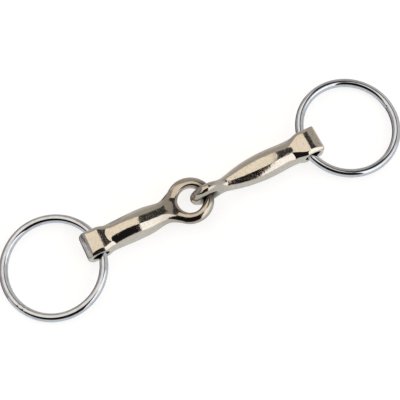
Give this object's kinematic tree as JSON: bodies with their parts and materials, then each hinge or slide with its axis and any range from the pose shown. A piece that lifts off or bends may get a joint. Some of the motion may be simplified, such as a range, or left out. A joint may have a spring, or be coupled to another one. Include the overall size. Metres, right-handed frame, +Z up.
{
  "type": "snaffle bit",
  "caption": "Loose-ring single-jointed snaffle bit: cast nickel-plated cannons hooked eye through eye, with a free-sliding chromed wire ring at each end.",
  "frame": {"origin": "on the table, under the middle of the bit's bounding box, as it lies at rest", "axes": "+Z up from the table, +X along the mouthpiece from the left ring to the right ring, Y across it in the plane of the rings"},
  "size_m": [0.2218, 0.0558, 0.0186],
  "materials": {
    "nickel_casting": "polished nickel plate over a slightly pitted casting",
    "chromed_wire": "bright chrome plate on drawn wire"
  },
  "bodies": {
    "left_cannon": {"left_cannon": "nickel_casting"},
    "right_cannon": {"right_cannon": "nickel_casting"},
    "left_ring": {"left_ring": "chromed_wire"},
    "right_ring": {"right_ring": "chromed_wire"}
  },
  "joints": [
    {"name": "centre_fold", "type": "hinge", "parent": "left_cannon", "child": "right_cannon", "pos_m": [-0.00776, -0.00033, 0.00859], "axis": [-0.0384, 0.0006, 0.9993], "range_deg": [-130, 130]},
    {"name": "left_ring_swing", "type": "hinge", "parent": "left_cannon", "child": "left_ring", "pos_m": [-0.05922, 0.00048, 0.00611], "axis": [-0.0384, 0.9993, 0], "range_deg": [-135, 135]},
    {"name": "right_ring_swing", "type": "hinge", "parent": "right_cannon", "child": "right_ring", "pos_m": [0.05918, 0.00048, 0.00614], "axis": [-0.0017, -1, 0], "range_deg": [-135, 135]}
  ]
}
